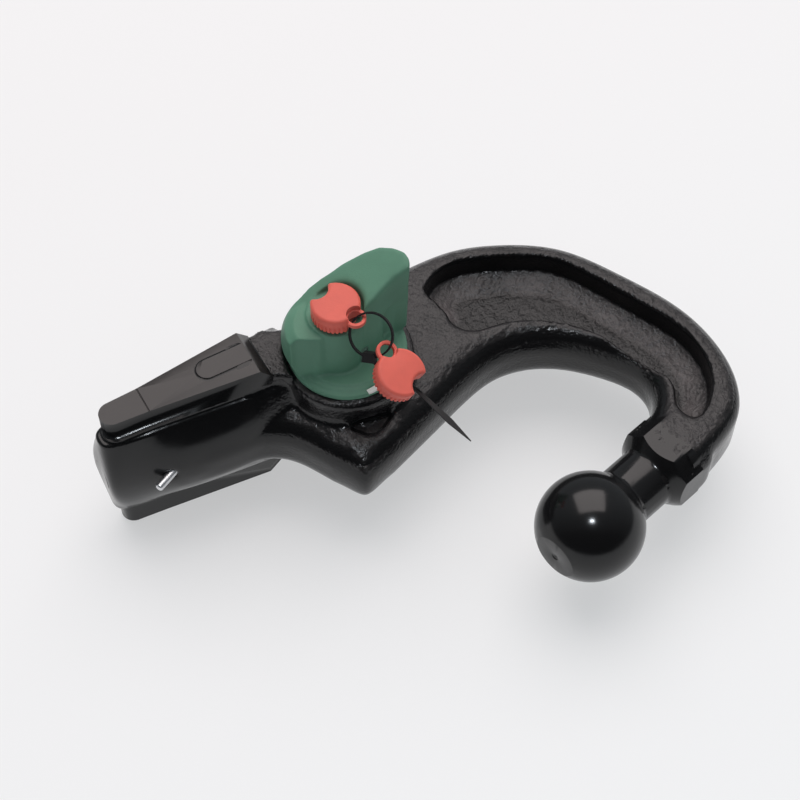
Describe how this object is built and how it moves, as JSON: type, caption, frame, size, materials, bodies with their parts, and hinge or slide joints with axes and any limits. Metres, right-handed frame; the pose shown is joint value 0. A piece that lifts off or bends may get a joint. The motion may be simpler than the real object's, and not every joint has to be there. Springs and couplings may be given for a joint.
{
  "type": "detachable trailer hook",
  "caption": "Detachable trailer hook: forged swan neck with ball, plug-in tongue, keyed hand wheel, rack-driven lock and trigger pin.",
  "frame": {"origin": "centre of the coupling ball", "axes": "+X along the tongue's axis from its tip toward the hook, +Y from the ball toward the tongue's axis, +Z square to the hook's flat side, toward the hand wheel"},
  "size_m": [0.2796, 0.1824, 0.1297],
  "materials": {
    "bar_black": "glossy black enamel over a forged skin",
    "bush_bronze": "sintered bronze",
    "zinc_steel": "bright zinc plated",
    "seal_rubber": "matt black rubber",
    "spring_steel": "oiled spring steel",
    "steel": "machined steel",
    "wheel_green": "satin moulded green plastic",
    "mark_white": "off-white inlay",
    "lock_chrome": "nickel plated lock barrel",
    "key_red": "satin moulded red plastic",
    "key_steel": "nickel plated key blank",
    "tie_black": "black nylon"
  },
  "bodies": {
    "hook": {"forged_bar": "bar_black", "upper_bush": "bush_bronze", "lower_bush": "bush_bronze", "bottom_cover": "zinc_steel", "boss_seal": "seal_rubber", "tip_plug": "bar_black", "rod_spring": "spring_steel", "pin_spring": "spring_steel", "torsion_spring": "spring_steel"},
    "spindle": {"spindle": "steel", "pinion": "steel", "spindle_clip": "spring_steel"},
    "wheel": {"hand_wheel": "wheel_green", "wheel_mark": "mark_white", "drive_insert": "steel", "insert_screws": "zinc_steel", "stop_dog": "steel", "lock_housing": "lock_chrome"},
    "plug": {"lock_plug": "lock_chrome", "lock_cam": "zinc_steel"},
    "key": {"key_head": "key_red", "key_blade": "key_steel"},
    "tie": {"cable_tie": "tie_black"},
    "spare_key": {"spare_key_head": "key_red", "spare_key_blade": "key_steel"},
    "rod": {"rack_rod": "steel"},
    "bolt": {"locking_bolt": "steel"},
    "pin": {"trigger_pin": "zinc_steel"}
  },
  "joints": [
    {"name": "spindle_turn", "type": "hinge", "parent": "hook", "child": "spindle", "pos_m": [-0.0596, 0.1168, 0], "axis": [0, 0, 1], "range_deg": [0, 90]},
    {"name": "wheel_pull", "type": "slide", "parent": "spindle", "child": "wheel", "axis": [0, 0, 1], "range_m": [0, 0.006], "stiffness_N_per_m": 900, "springref_m": -0.004},
    {"name": "key_turn", "type": "hinge", "parent": "wheel", "child": "plug", "pos_m": [-0.0656, 0.1148, 0.0665], "axis": [0, 0, -1], "range_deg": [0, 80]},
    {"name": "key_pull", "type": "slide", "parent": "plug", "child": "key", "axis": [0, 0, 1], "range_m": [0, 0.03]},
    {"name": "tie_swing", "type": "hinge", "parent": "key", "child": "tie", "pos_m": [-0.06098, 0.10515, 0.07315], "axis": [0, 0, -1], "range_deg": [-40, 0]},
    {"name": "spare_key_swing", "type": "hinge", "parent": "tie", "child": "spare_key", "pos_m": [-0.05534, 0.08758, 0.06639], "axis": [-0.744, 0.0182, -0.6679], "range_deg": [0, 15]},
    {"name": "rod_slide", "type": "slide", "parent": "hook", "child": "rod", "axis": [-1, 0, 0], "range_m": [0, 0.014]},
    {"name": "bolt_slide", "type": "slide", "parent": "hook", "child": "bolt", "axis": [0, 1, 0], "range_m": [0, 0.0045]},
    {"name": "pin_slide", "type": "slide", "parent": "hook", "child": "pin", "axis": [0.9048, 0.4259, 0], "range_m": [0, 0.005], "stiffness_N_per_m": 300, "springref_m": -0.003}
  ],
  "couplings": [
    {"joint": "rod_slide", "follows": "spindle_turn", "m_per_rad": 0.00875},
    {"joint": "bolt_slide", "follows": "spindle_turn", "m_per_rad": 0.0028011},
    {"joint": "tie_swing", "follows": "key_turn", "ratio": -0.5}
  ]
}
